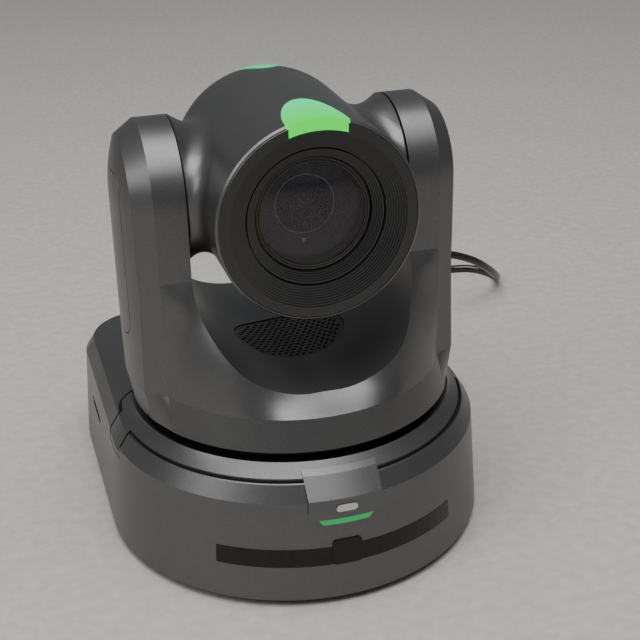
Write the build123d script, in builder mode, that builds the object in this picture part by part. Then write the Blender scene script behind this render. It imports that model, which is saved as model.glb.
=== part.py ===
"""PTZ camera: a fixed base, a yoke that pans on it, and a head that tilts in the yoke.

Millimetres, +Z up. The origin is the mouth of the tripod thread, on the pan axis, in the
flat underside of the base. The lens looks along -Y at rest, and the sockets face +Y.
"""
from build123d import *
import math
import os

os.makedirs("parts", exist_ok=True)

# ---------------------------------------------------------------- driving dimensions
BASE_R = 85.0            # radius of the base at its bottom edge
BASE_TOP_R = 82.0        # radius of the base where the wall ends
WALL_TOP = 45.0          # height of the tapered wall
BAND_R = 77.8            # radius at the top of the sloping band above the wall
BAND_TOP = 51.6
DECK_R = 71.1            # radius where the deck meets the pan gap
DECK_TOP = 58.2
BASE_BACK = 118.0        # the straight rear edge of the base
CORNER_R = 34.0          # rear corners of the base
SKIN = 2.5               # wall thickness of the mouldings
FOOT_H = 3.5             # rubber feet under the base

PAN_GAP_Z = 62.1         # underside of the yoke's drum
DRUM_R = 70.5            # drum radius at the pan gap
BELT_R = 66.5            # radius of the crisp edge round the front of the drum
BELT_Z = 75.0            # height of that edge
ARM_IN = 46.8            # half the distance between the arms
ARM_EDGE = 60.0          # inner end of the bevel on the front of an arm
ARM_BEVEL = 68.0         # outer end of that bevel
ARM_OUT = 72.7           # outer face of the arms
ARM_FRONT = -28.0
ARM_BACK = 34.0
BEVEL_FRONT = -22.5      # where the bevels meet the outer face, in front and behind
BEVEL_BACK = 28.5
TROUGH_Z = 81.0          # lowest point between the arms
TROUGH_R = 42.0          # rounding at the foot of each arm

TILT_Y = 3.0             # the tilt axis runs along X through here
TILT_Z = 154.0
HEAD_R = 41.3            # barrel of the head
HEAD_FRONT = -54.0
HEAD_BACK = 54.0
HEAD_BACK_R = 28.0       # rounding of the back of the head
TRUNNION_R = 31.0        # where the head meets the arms
ARM_GAP = 0.5            # running gap between head and arm
RUN = 0.05               # radial clearance of a shaft in its bearing

PAN_HUB_R = 24.0
PAN_PULLEY_R = 34.0
MOTOR_PULLEY_R = 7.0
TILT_PULLEY_R = 13.0
AXLE_R = 6.0
BELT_GAP = 0.3           # clearance between a belt and its pulleys, so that both can turn
BELT_T = 1.2
CORD_R = 2.3             # network lead, 4.6 mm across

TILT_PLANE = Plane(origin=(0, TILT_Y, TILT_Z), x_dir=(0, 1, 0), z_dir=(1, 0, 0))
TILT_AXIS = Axis((0, TILT_Y, TILT_Z), (1, 0, 0))
LENS_PLANE = Plane(origin=(0, 0, TILT_Z), x_dir=(1, 0, 0), z_dir=(0, -1, 0))


def save(piece, name):
    """Label a finished piece and write it as its own STEP file."""
    piece.part.label = name
    export_step(piece.part, f"parts/{name}.step")


def wall_radius(z):
    """Radius of the tapered wall of the base at height z."""
    return BASE_R - (BASE_R - BASE_TOP_R) * z / WALL_TOP


def base_outline(radius):
    """A round front with straight sides and a rear edge with rounded corners."""
    back = BASE_BACK - (BASE_R - radius)
    corner = CORNER_R - (BASE_R - radius)
    with BuildSketch() as outline:
        with BuildLine():
            ThreePointArc((-radius, 0), (0, -radius), (radius, 0))
            Line((radius, 0), (radius, back - corner))
            RadiusArc((radius, back - corner), (radius - corner, back), -corner)
            Line((radius - corner, back), (corner - radius, back))
            RadiusArc((corner - radius, back), (-radius, back - corner), -corner)
            Line((-radius, back - corner), (-radius, 0))
        make_face()
    return outline.sketch


def on_circle(radius, angle):
    """A point on a circle about the pan axis, angle in degrees from +X."""
    return (radius * math.cos(math.radians(angle)), radius * math.sin(math.radians(angle)))


def round_outline(radius):
    """A circle in six arcs that answer to the six edges of the base outline."""
    with BuildSketch() as outline:
        with BuildLine():
            for start, middle, end in (
                (180, 270, 360), (0, 21, 42), (42, 54, 66), (66, 90, 114), (114, 126, 138), (138, 159, 180),
            ):
                ThreePointArc(on_circle(radius, start), on_circle(radius, middle), on_circle(radius, end))
        make_face()
    return outline.sketch


# ---------------------------------------------------------------- base: the outer form
with BuildPart() as base_form:
    for low, high, low_r, high_r in (
        (0, WALL_TOP, BASE_R, BASE_TOP_R), (WALL_TOP, BAND_TOP, BASE_TOP_R, BAND_R),
    ):
        with BuildSketch(Plane.XY.offset(low)):
            add(base_outline(low_r))
        with BuildSketch(Plane.XY.offset(high)):
            add(base_outline(high_r))
        loft(ruled=True)
    with BuildSketch(Plane.XY.offset(BAND_TOP)):
        add(base_outline(BAND_R))
    with BuildSketch(Plane.XY.offset(DECK_TOP)):
        add(round_outline(DECK_R))
    loft(ruled=True)
    with BuildSketch(Plane.XY.offset(DECK_TOP)):
        Circle(DECK_R)
    extrude(amount=-1.0, mode=Mode.SUBTRACT)

# The inside of the base, one skin in from the outside.
ROOM_TOP = BAND_TOP - 4.0
with BuildPart() as base_room:
    with BuildSketch():
        add(base_outline(BASE_R - SKIN))
    with BuildSketch(Plane.XY.offset(ROOM_TOP)):
        add(base_outline(BAND_R - SKIN))
    loft(ruled=True)
    with BuildSketch(Plane.XY.offset(ROOM_TOP)):
        add(base_outline(BAND_R - SKIN - 2))
    with BuildSketch(Plane.XY.offset(DECK_TOP - 5.6)):
        add(round_outline(DECK_R - 5))
    loft(ruled=True)

# The front cover is a crescent that ends in an ear on each side of the base.
COVER_R = 76.0
COVER_T = 2.2
GROOVE = 1.4             # the dark line between the cover and the band
EAR_FRONT = -12.5
EAR_BACK = 5.0
with BuildSketch() as cover_plan:
    Circle(COVER_R)
    with Locations((0, 62)):
        Rectangle(200, 100, mode=Mode.SUBTRACT)
    for side in (1, -1):
        with Locations((side * 76, (EAR_FRONT + EAR_BACK) / 2)):
            RectangleRounded(14, EAR_BACK - EAR_FRONT, 2.0)
with BuildPart() as cover_crescent:
    with BuildSketch(Plane.XY.offset(WALL_TOP)):
        add(cover_plan.sketch)
    extrude(amount=20)
    add(base_form.part, mode=Mode.INTERSECT)
    add(base_form.part.moved(Location((0, 0, -COVER_T))), mode=Mode.SUBTRACT)
    with BuildSketch(Plane.XY.offset(DECK_TOP - 4)):
        Circle(DECK_R - 1.5)
    extrude(amount=10, mode=Mode.SUBTRACT)

# The tab hangs from the cover over the front of the wall.
TAB_HALF = 15.6
TAB_LOW = 37.5
with BuildPart() as front_tab:
    with BuildSketch(Plane.XZ):
        with BuildLine():
            Polyline(
                (COVER_R - 2.0, 53.9), (BAND_R + 0.1, BAND_TOP + 0.1), (BASE_TOP_R + 0.1, WALL_TOP),
                (wall_radius(TAB_LOW) + 0.05, TAB_LOW), (wall_radius(TAB_LOW) + 1.3, TAB_LOW),
                (BASE_TOP_R + 1.4, WALL_TOP + 1.5), (COVER_R + 0.2, 54.3), (COVER_R - 2.0, 56.2),
                close=True,
            )
        make_face()
    revolve(axis=Axis.Z)
    with BuildSketch(Plane.XZ.offset(60)):
        with Locations((0, 52)):
            RectangleRounded(2 * TAB_HALF, 29, 4.0)
    extrude(amount=40, mode=Mode.INTERSECT)
with BuildPart() as front_cover:
    add(cover_crescent.part)
    add(front_tab.part)
save(front_cover, "front_cover")

# ---------------------------------------------------------------- base: the housing
PANEL_HALF = 54.0
PANEL_LOW = 6.0
PANEL_HIGH = 40.0
PANEL_Y = 112.0          # outer face of the rear panel
WINDOW_LOW = 15.8        # glossy sensor window in the front of the wall
WINDOW_HIGH = 24.0
WINDOW_ANGLE = 37.7
BEARING_R = 32.0
BEARING_LOW = 46.0

with BuildPart() as window_ring:
    with BuildSketch(Plane.XZ):
        with BuildLine():
            Polyline(
                (wall_radius(WINDOW_LOW) - 1.5, WINDOW_LOW),
                (wall_radius(WINDOW_LOW) + 0.15, WINDOW_LOW),
                (wall_radius(WINDOW_HIGH) + 0.15, WINDOW_HIGH),
                (wall_radius(WINDOW_HIGH) - 1.5, WINDOW_HIGH),
                close=True,
            )
        make_face()
    revolve(axis=Axis.Z)
    reach = 2 * BASE_R
    spread = reach * math.tan(math.radians(WINDOW_ANGLE))
    with BuildSketch():
        with BuildLine():
            Polyline((0, 0), (-spread, -reach), (spread, -reach), close=True)
        make_face()
    extrude(amount=WALL_TOP, mode=Mode.INTERSECT)
# The infrared receiver is a plain raised block in the middle of the window.
with BuildPart() as receiver_block:
    with BuildSketch(Plane.XZ):
        with BuildLine():
            Polyline(
                (wall_radius(0) - 1.6, 14.0), (wall_radius(14) + 0.5, 14.0),
                (wall_radius(30) + 0.5, 30.0), (wall_radius(0) - 1.6, 30.0), close=True,
            )
        make_face()
    revolve(axis=Axis.Z)
    with BuildSketch(Plane.XZ.offset(60)):
        with Locations((0, 21.3)):
            RectangleRounded(12.8, 11.4, 1.8)
    extrude(amount=40, mode=Mode.INTERSECT)
with BuildPart() as sensor_window:
    add(window_ring.part)
    add(receiver_block.part)
save(sensor_window, "sensor_window")

with BuildPart() as cover_recess:
    with BuildSketch(Plane.XY.offset(WALL_TOP - 5)):
        offset(cover_plan.sketch, amount=GROOVE)
    extrude(amount=25)
    add(base_form.part, mode=Mode.INTERSECT)
    add(base_form.part.moved(Location((0, 0, -COVER_T - 0.05))), mode=Mode.SUBTRACT)

# The green bar under the tab, sunk a little into the wall.
BAR_LOW = 34.8
BAR_HIGH = 37.3
with BuildPart() as indicator_bar:
    with BuildSketch(Plane.XZ):
        with BuildLine():
            Polyline(
                (wall_radius(BAR_LOW) - 0.8, BAR_LOW), (wall_radius(BAR_LOW) + 0.7, BAR_LOW),
                (wall_radius(BAR_HIGH) + 0.9, BAR_HIGH), (wall_radius(BAR_HIGH) - 0.8, BAR_HIGH),
                close=True,
            )
        make_face()
    revolve(axis=Axis.Z)
    with BuildSketch(Plane.XZ.offset(60)):
        with BuildLine():
            Polyline((-11.8, BAR_HIGH), (-9.6, BAR_LOW), (9.6, BAR_LOW), (11.8, BAR_HIGH), close=True)
        make_face()
    extrude(amount=40, mode=Mode.INTERSECT)
save(indicator_bar, "indicator_bar")

# A plain oblong plate on the tab.
BADGE_Y = wall_radius(42) + 1.5
with BuildPart() as tab_badge:
    with BuildSketch(Plane.XZ.offset(BADGE_Y)):
        with Locations((0, 42.4)):
            SlotOverall(9.0, 3.2)
    extrude(amount=0.4)
save(tab_badge, "tab_badge")

SIDE_SLOT_Y = 52.0       # cooling slot in each side wall
SIDE_SLOT_Z = 30.0
VENT_HOLE_R = 0.9
with BuildPart() as base_housing:
    add(base_form.part)
    add(base_room.part, mode=Mode.SUBTRACT)
    # the raised seat that carries the pan bearing
    with BuildSketch(Plane.XY.offset(BEARING_LOW)):
        Circle(BEARING_R + 4)
    extrude(amount=DECK_TOP - 1.0 - BEARING_LOW)
    with BuildSketch(Plane.XY.offset(BEARING_LOW)):
        Circle(BEARING_R)
    extrude(amount=8.0, mode=Mode.SUBTRACT)
    with BuildSketch(Plane.XY.offset(BEARING_LOW)):
        Circle(PAN_HUB_R + 1.5)
    extrude(amount=20, mode=Mode.SUBTRACT)
    add(cover_recess.part, mode=Mode.SUBTRACT)
    add(sensor_window.part, mode=Mode.SUBTRACT)
    add(indicator_bar.part, mode=Mode.SUBTRACT)
    # the opening of the rear panel
    with BuildSketch(Plane.XZ.offset(-PANEL_Y + 6)):
        with Locations((0, (PANEL_LOW + PANEL_HIGH) / 2)):
            RectangleRounded(2 * PANEL_HALF, PANEL_HIGH - PANEL_LOW, 3)
    extrude(amount=-20, mode=Mode.SUBTRACT)
    with BuildSketch(Plane.XZ.offset(-PANEL_Y)):
        with Locations((0, (PANEL_LOW + PANEL_HIGH) / 2)):
            RectangleRounded(2 * PANEL_HALF + 5, PANEL_HIGH - PANEL_LOW + 5, 4)
    extrude(amount=20, mode=Mode.SUBTRACT)
    # a cooling slot in each side wall, and a row of small vents behind the yoke
    with BuildSketch(Plane.YZ.offset(-BASE_R - 5)):
        with Locations((SIDE_SLOT_Y, SIDE_SLOT_Z)):
            SlotOverall(26, 3.0)
    extrude(amount=2 * BASE_R + 10, mode=Mode.SUBTRACT)
    with BuildSketch(Plane.XY.offset(ROOM_TOP - 6)):
        with PolarLocations(80, 9, start_angle=58, angular_range=64):
            Circle(VENT_HOLE_R)
        with PolarLocations(84.5, 9, start_angle=58, angular_range=64):
            Circle(VENT_HOLE_R)
    extrude(amount=30, mode=Mode.SUBTRACT)
save(base_housing, "base_housing")

# ---------------------------------------------------------------- base: underside
FEET = [(52, -42), (-52, -42), (58, 92), (-58, 92)]
BRACKET_X = 70.0         # holes for a wall or ceiling bracket
BRACKET_Y = 44.0
BRACKET_HOLE_R = 1.6
BOSS_R = 11.0
THREAD_R = 3.1           # 1/4 inch tripod thread
THREAD_DEPTH = 9.0
PLATE_T = 2.0
SCREWS_UNDER = [(66, 8), (-66, 8), (44, 60), (-44, 60)]
SCREW_HEAD_R = 2.8
SCREW_R = 1.4
with BuildPart() as bottom_plate:
    with BuildSketch():
        add(base_outline(BASE_R - SKIN - 0.5))
        Circle(BOSS_R, mode=Mode.SUBTRACT)
    extrude(amount=PLATE_T)
    with BuildSketch():
        with GridLocations(BRACKET_X, BRACKET_Y, 2, 2):
            Circle(BRACKET_HOLE_R)
        with Locations(*SCREWS_UNDER):
            Circle(SCREW_R)
        with Locations((0, 84)):
            with GridLocations(7, 0, 5, 1):
                SlotOverall(22, 3, rotation=90)
    extrude(amount=PLATE_T, mode=Mode.SUBTRACT)
save(bottom_plate, "bottom_plate")

with BuildPart() as rubber_feet:
    with BuildSketch(Plane.XY.offset(-FOOT_H)):
        with Locations(*FEET):
            Circle(8)
    extrude(amount=FOOT_H)
    chamfer(rubber_feet.faces().sort_by(Axis.Z)[:4].edges(), 0.8)
save(rubber_feet, "rubber_feet")

with BuildPart() as tripod_socket:
    Cylinder(BOSS_R, THREAD_DEPTH + 2, align=(Align.CENTER, Align.CENTER, Align.MIN))
    Cylinder(THREAD_R, THREAD_DEPTH, align=(Align.CENTER, Align.CENTER, Align.MIN), mode=Mode.SUBTRACT)
save(tripod_socket, "tripod_socket")

with BuildPart() as base_screws:
    with BuildSketch(Plane.XY.offset(-1.6)):
        with Locations(*SCREWS_UNDER):
            Circle(SCREW_HEAD_R)
    extrude(amount=1.6)
    with BuildSketch():
        with Locations(*SCREWS_UNDER):
            Circle(SCREW_R)
    extrude(amount=7)
    with BuildSketch(Plane.XY.offset(-1.6)):
        with Locations(*SCREWS_UNDER):
            Rectangle(3.2, 0.7)
            Rectangle(0.7, 3.2)
    extrude(amount=0.9, mode=Mode.SUBTRACT)
save(base_screws, "base_screws")

# ---------------------------------------------------------------- base: rear panel and sockets
PANEL_T = 1.6
SOCKET_Z = 20.0
NETWORK_X = 32.0
HDMI_X = 10.0
SDI_X = -10.0
USB_X = -26.0
POWER_X = 47.0
AUDIO_X = -38.0
SERIAL_X = -48.0
GROUND = (47.0, 33.0)
SOCKET_BACK = 96.0       # front of the socket bodies, inside the base
VENT_AT = (-20.0, 35.0)
VENT_WIDE = 62.0
VENT_TALL = 8.0


def socket_body(width, height, x, hole_width, hole_height):
    """A closed box with a straight opening that faces the rear."""
    with BuildPart(Plane((x, PANEL_Y, SOCKET_Z))) as body:
        Box(width, PANEL_Y - SOCKET_BACK, height, align=(Align.CENTER, Align.MAX, Align.CENTER))
        Box(hole_width, 12, hole_height, align=(Align.CENTER, Align.MAX, Align.CENTER), mode=Mode.SUBTRACT)
    return body


def round_socket(radius, x, z, hole_r, reach):
    """A barrel with a round opening that faces the rear."""
    with BuildPart(Plane((x, PANEL_Y, z), x_dir=(1, 0, 0), z_dir=(0, -1, 0))) as body:
        Cylinder(radius, PANEL_Y - SOCKET_BACK, align=(Align.CENTER, Align.CENTER, Align.MIN))
        Cylinder(radius, reach, align=(Align.CENTER, Align.CENTER, Align.MAX))
        with Locations((0, 0, -reach)):
            Cylinder(hole_r, 10, align=(Align.CENTER, Align.CENTER, Align.MIN), mode=Mode.SUBTRACT)
    return body


network_socket = socket_body(15.4, 13.4, NETWORK_X, 11.9, 8.4)
save(network_socket, "network_socket")
hdmi_socket = socket_body(15.0, 5.8, HDMI_X, 13.8, 4.4)
save(hdmi_socket, "hdmi_socket")
usb_socket = socket_body(13.2, 6.4, USB_X, 12.0, 4.8)
save(usb_socket, "usb_socket")
power_socket = round_socket(4.6, POWER_X, SOCKET_Z, 2.8, 0.6)
save(power_socket, "power_socket")
sdi_socket = round_socket(4.8, SDI_X, SOCKET_Z, 3.6, 3.4)
save(sdi_socket, "sdi_socket")
audio_socket = round_socket(3.6, AUDIO_X, SOCKET_Z, 1.8, 0.6)
save(audio_socket, "audio_socket")
serial_socket = round_socket(4.8, SERIAL_X, SOCKET_Z, 4.0, 0.4)
save(serial_socket, "serial_socket")

with BuildPart() as rear_panel:
    with BuildSketch(Plane.XZ.offset(-PANEL_Y)):
        with Locations((0, (PANEL_LOW + PANEL_HIGH) / 2)):
            RectangleRounded(2 * PANEL_HALF + 5, PANEL_HIGH - PANEL_LOW + 5, 4)
        with Locations((NETWORK_X, SOCKET_Z)):
            Rectangle(15.4, 13.4, mode=Mode.SUBTRACT)
        with Locations((HDMI_X, SOCKET_Z)):
            Rectangle(15.0, 5.8, mode=Mode.SUBTRACT)
        with Locations((USB_X, SOCKET_Z)):
            Rectangle(13.2, 6.4, mode=Mode.SUBTRACT)
        with Locations((POWER_X, SOCKET_Z)):
            Circle(4.6, mode=Mode.SUBTRACT)
        with Locations((SDI_X, SOCKET_Z), (SERIAL_X, SOCKET_Z)):
            Circle(4.8, mode=Mode.SUBTRACT)
        with Locations((AUDIO_X, SOCKET_Z)):
            Circle(3.6, mode=Mode.SUBTRACT)
        with Locations(GROUND):
            Circle(1.6, mode=Mode.SUBTRACT)
        with Locations(VENT_AT):
            RectangleRounded(VENT_WIDE, VENT_TALL, 1.5, mode=Mode.SUBTRACT)
    extrude(amount=PANEL_T)
save(rear_panel, "rear_panel")

# The air outlet is an insert of its own, with a row of upright slots.
with BuildPart() as rear_vent:
    with BuildSketch(Plane.XZ.offset(-PANEL_Y)):
        with Locations(VENT_AT):
            RectangleRounded(VENT_WIDE - 0.1, VENT_TALL - 0.1, 1.45)
            with GridLocations(4.2, 0, 14, 1):
                SlotOverall(5.6, 1.8, rotation=90, mode=Mode.SUBTRACT)
    extrude(amount=PANEL_T)
save(rear_vent, "rear_vent")

with BuildPart(Plane((GROUND[0], PANEL_Y, GROUND[1]), x_dir=(1, 0, 0), z_dir=(0, 1, 0))) as ground_screw:
    Cylinder(3.0, 1.8, align=(Align.CENTER, Align.CENTER, Align.MIN))
    Cylinder(1.6, 6.0, align=(Align.CENTER, Align.CENTER, Align.MAX))
    with Locations((0, 0, 1.8)):
        Box(4.4, 0.8, 1.6, mode=Mode.SUBTRACT)
save(ground_screw, "ground_screw")

# ---------------------------------------------------------------- base: the drive and the electronics
MAIN_BOARD_Z = 9.0
with BuildPart() as main_board:
    with BuildSketch(Plane.XY.offset(MAIN_BOARD_Z)):
        with Locations((0, 77)):
            RectangleRounded(124, 56, 3)
    extrude(amount=1.6)
    for x, y, width, depth, height in ((-24, 66, 22, 22, 5), (10, 64, 16, 16, 3), (40, 68, 14, 20, 8)):
        with BuildSketch(Plane.XY.offset(MAIN_BOARD_Z + 1.6)):
            with Locations((x, y)):
                Rectangle(width, depth)
        extrude(amount=height)
save(main_board, "main_board")

PAN_MOTOR = (-40.0, -40.0)
PAN_BELT_LOW = 34.0
PAN_BELT_HIGH = 40.0
with BuildPart() as pan_motor:
    with Locations((PAN_MOTOR[0], PAN_MOTOR[1], PLATE_T)):
        Cylinder(17, 28, align=(Align.CENTER, Align.CENTER, Align.MIN))
    with Locations((PAN_MOTOR[0], PAN_MOTOR[1], 20)):
        Cylinder(2.5 + RUN, 20, align=(Align.CENTER, Align.CENTER, Align.MIN), mode=Mode.SUBTRACT)
save(pan_motor, "pan_motor")

with BuildPart() as pan_motor_pulley:
    with Locations((PAN_MOTOR[0], PAN_MOTOR[1], 21)):
        Cylinder(2.5, PAN_BELT_HIGH - 21, align=(Align.CENTER, Align.CENTER, Align.MIN))
    with Locations((PAN_MOTOR[0], PAN_MOTOR[1], PAN_BELT_LOW - 1)):
        Cylinder(MOTOR_PULLEY_R, 8, align=(Align.CENTER, Align.CENTER, Align.MIN))
save(pan_motor_pulley, "pan_motor_pulley")


def belt_loop(first, first_r, second, second_r):
    """A flat belt round two pulleys, a little clear of both."""
    with BuildSketch() as outer:
        with Locations(first):
            Circle(first_r + BELT_GAP + BELT_T)
        with Locations(second):
            Circle(second_r + BELT_GAP + BELT_T)
        make_hull()
    with BuildSketch() as inner:
        with Locations(first):
            Circle(first_r + BELT_GAP)
        with Locations(second):
            Circle(second_r + BELT_GAP)
        make_hull()
    return outer.sketch - inner.sketch


with BuildPart() as pan_belt:
    with BuildSketch(Plane.XY.offset(PAN_BELT_LOW)):
        add(belt_loop((0, 0), PAN_PULLEY_R, PAN_MOTOR, MOTOR_PULLEY_R))
    extrude(amount=PAN_BELT_HIGH - PAN_BELT_LOW)
save(pan_belt, "pan_belt")

with BuildPart() as pan_bearing:
    with BuildSketch(Plane.XY.offset(BEARING_LOW)):
        Circle(BEARING_R)
        Circle(PAN_HUB_R + RUN, mode=Mode.SUBTRACT)
    extrude(amount=8.0)
save(pan_bearing, "pan_bearing")

# ---------------------------------------------------------------- base: the network lead
PLUG_WIDE = 11.5
PLUG_HALF_H = 4.0
PLUG_HALF_LONG = 9.0     # half of the plug is in the socket
BOOT_LONG = 17.0         # the boot tapers from the plug to the lead
BOOT_END = 5.6
BOOT_ROUND = 2.7
PLUG_PLANE = Plane((NETWORK_X, PANEL_Y, SOCKET_Z), x_dir=(1, 0, 0), z_dir=(0, 1, 0))
with BuildPart() as network_plug:
    with BuildSketch(PLUG_PLANE.offset(-PLUG_HALF_LONG)):
        Rectangle(PLUG_WIDE, 2 * PLUG_HALF_H)
    extrude(amount=2 * PLUG_HALF_LONG)
    with BuildSketch(PLUG_PLANE.offset(PLUG_HALF_LONG)):
        RectangleRounded(PLUG_WIDE, 2 * PLUG_HALF_H, 1.5)
    with BuildSketch(PLUG_PLANE.offset(PLUG_HALF_LONG + BOOT_LONG)):
        RectangleRounded(BOOT_END, BOOT_END, BOOT_ROUND)
    loft()
save(network_plug, "network_plug")

FLOOR_Z = CORD_R - FOOT_H
LEAD_START = (NETWORK_X, PANEL_Y + PLUG_HALF_LONG + BOOT_LONG, SOCKET_Z)
LEAD_ROUTE = [
    LEAD_START,
    (32, 158, 20),
    (44, 177, 25),
    (72, 188, 32),
    (104, 180, 37),
    (133, 167, 37.5),
    (157, 163, 32),
    (176, 172, 17.5),
    (188.5, 187, 4),
    (194, 204, FLOOR_Z),
    (184, 219.5, FLOOR_Z),
    (164, 222.5, FLOOR_Z),
    (142, 216.5, 2.5),
    (123, 212.8, 9.5),
    (106, 212.4, 13.0),
]


def bend_radii(route):
    """The largest arc that each corner's two runs allow."""
    radii = []
    for before, corner, after in zip(route, route[1:], route[2:]):
        first = Vector(corner) - Vector(before)
        second = Vector(after) - Vector(corner)
        turn = math.radians(first.get_angle(second))
        radii.append(0.45 * min(first.length, second.length) / math.tan(turn / 2))
    return radii


lead_radii = bend_radii(LEAD_ROUTE)
print("lead bend radii", [round(r, 1) for r in lead_radii])
with BuildPart() as network_lead:
    with BuildLine() as lead_path:
        FilletPolyline(*LEAD_ROUTE, radius=lead_radii)
    with BuildSketch(Plane(origin=LEAD_START, z_dir=Vector(LEAD_ROUTE[1]) - Vector(LEAD_START))):
        Circle(CORD_R)
    sweep(path=lead_path.line)
lead_length = sum(edge.length for edge in lead_path.edges())
print("lead length", round(lead_length, 1), "volume", round(network_lead.part.volume, 1))
print("section times length", round(math.pi * CORD_R**2 * lead_length, 1))
save(network_lead, "network_lead")

# The put-away length: four layers of turns, as one ring.
COIL_AT = (100.0, 242.0)
COIL_MID_R = 25.3
COIL_HALF_T = 6.9
COIL_H = 19.2
with BuildPart() as network_lead_coil:
    with BuildSketch(Plane.XY.offset(-FOOT_H)):
        with Locations(COIL_AT):
            Circle(COIL_MID_R + COIL_HALF_T)
            Circle(COIL_MID_R - COIL_HALF_T, mode=Mode.SUBTRACT)
    extrude(amount=COIL_H)
save(network_lead_coil, "network_lead_coil")

FAR_PLUG_PLANE = Plane((70.4, 254.0, PLUG_HALF_H - FOOT_H), x_dir=(1, 0, 0), z_dir=(0, 1, 0))
with BuildPart() as network_plug_far:
    with BuildSketch(FAR_PLUG_PLANE):
        RectangleRounded(BOOT_END, BOOT_END, BOOT_ROUND)
    with BuildSketch(FAR_PLUG_PLANE.offset(BOOT_LONG)):
        RectangleRounded(PLUG_WIDE, 2 * PLUG_HALF_H, 1.5)
    loft()
    with BuildSketch(FAR_PLUG_PLANE.offset(BOOT_LONG)):
        Rectangle(PLUG_WIDE, 2 * PLUG_HALF_H)
    extrude(amount=2 * PLUG_HALF_LONG)
save(network_plug_far, "network_plug_far")

# ---------------------------------------------------------------- yoke: the outer form
SHOULDER_X = 48.0        # points of the front curve, from the middle outwards: knee, shoulder, edge
KNEE_X = 33.0
ARM_STRAIGHT_Z = 125.0   # above this height the arms are straight


def yoke_section(front, back, bevel_y, bevel_x, side_x):
    """One level of the yoke seen from above: a bowed front and back, bevels and rounded sides.

    front holds y in the middle, at the knee, at the shoulder and at the edge of the front curve,
    back holds y in the middle and at the edge of the rear curve, and bevel_y the ends of the bevels.
    """
    middle_y = (bevel_y[0] + bevel_y[1]) / 2
    front_x = (-ARM_EDGE, -SHOULDER_X, -KNEE_X, 0, KNEE_X, SHOULDER_X, ARM_EDGE)
    front_y = (*reversed(front), *front[1:])
    with BuildSketch() as section:
        with BuildLine():
            Spline(*zip(front_x, front_y))
            Line((ARM_EDGE, front[3]), (bevel_x, bevel_y[0]))
            ThreePointArc((bevel_x, bevel_y[0]), (side_x, middle_y), (bevel_x, bevel_y[1]))
            Line((bevel_x, bevel_y[1]), (ARM_EDGE, back[1]))
            ThreePointArc((ARM_EDGE, back[1]), (0, back[0]), (-ARM_EDGE, back[1]))
            Line((-ARM_EDGE, back[1]), (-bevel_x, bevel_y[1]))
            ThreePointArc((-bevel_x, bevel_y[1]), (-side_x, middle_y), (-bevel_x, bevel_y[0]))
            Line((-bevel_x, bevel_y[0]), (-ARM_EDGE, front[3]))
        make_face()
    return section.sketch


def chord_y(radius, x):
    """Distance from the middle of a circle to the chord that ends at x."""
    return math.sqrt(radius**2 - x**2)


def round_front(radius):
    """The four front values of a level whose front is a circle about the pan axis."""
    return tuple(-chord_y(radius, x) for x in (0, KNEE_X, SHOULDER_X, ARM_EDGE))


DRUM_BEVEL_X = 66.0
EDGE_LOW = chord_y(DRUM_R, ARM_EDGE)
BEVEL_LOW = chord_y(DRUM_R, DRUM_BEVEL_X)
DRUM_FOOT = (round_front(DRUM_R), (DRUM_R, EDGE_LOW), (-BEVEL_LOW, BEVEL_LOW), DRUM_BEVEL_X, DRUM_R)
DRUM_BELT = (round_front(BELT_R), (BELT_R, chord_y(BELT_R, ARM_EDGE)), (-22.5, 24.0), 69.0, ARM_OUT)
# Height, and the section there: a sloping band in front of the trough runs up into the flat
# faces of the arms.
YOKE_LEVELS = [
    (BELT_Z, DRUM_BELT),
    (81.0, ((-56.0, -55.9, -44.5, -28.4), (64.0, 29.9), (-22.5, 25.0), 68.9, ARM_OUT)),
    (92.0, ((-44.0, -52.5, -41.0, -28.2), (58.5, 32.3), (-22.5, 27.0), 68.5, ARM_OUT)),
    (100.0, ((-38.0, -49.0, -37.5, ARM_FRONT), (54.0, 33.6), (-22.5, 28.0), 68.3, ARM_OUT)),
    (112.0, (
        (-32.0, -38.0, -33.0, ARM_FRONT), (45.0, ARM_BACK), (BEVEL_FRONT, BEVEL_BACK), ARM_BEVEL, ARM_OUT,
    )),
    (ARM_STRAIGHT_Z, (
        (ARM_FRONT,) * 4, (ARM_BACK + 0.02, ARM_BACK), (BEVEL_FRONT, BEVEL_BACK), ARM_BEVEL, ARM_OUT,
    )),
]
with BuildPart() as yoke_form:
    with BuildSketch(Plane.XY.offset(PAN_GAP_Z)):
        add(yoke_section(*DRUM_FOOT))
    with BuildSketch(Plane.XY.offset(BELT_Z)):
        add(yoke_section(*DRUM_BELT))
    loft(ruled=True)
    for level, section in YOKE_LEVELS:
        with BuildSketch(Plane.XY.offset(level)):
            add(yoke_section(*section))
    loft()
    with BuildSketch(Plane.XY.offset(ARM_STRAIGHT_Z)):
        add(yoke_section(*YOKE_LEVELS[-1][1]))
    extrude(amount=TILT_Z - ARM_STRAIGHT_Z)
    # the tops of the arms are the rear half of that section, turned over the tilt axis
    with BuildSketch(Plane.XY.offset(TILT_Z)):
        with BuildLine():
            Line((-ARM_OUT, TILT_Y), (ARM_OUT, TILT_Y))
            TangentArc((ARM_OUT, TILT_Y), (ARM_BEVEL, BEVEL_BACK), tangent=(0, 1))
            Polyline(
                (ARM_BEVEL, BEVEL_BACK), (ARM_EDGE, ARM_BACK),
                (-ARM_EDGE, ARM_BACK), (-ARM_BEVEL, BEVEL_BACK),
            )
            TangentArc((-ARM_OUT, TILT_Y), (-ARM_BEVEL, BEVEL_BACK), tangent=(0, 1))
        make_face()
    revolve(axis=TILT_AXIS, revolution_arc=180)


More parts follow.
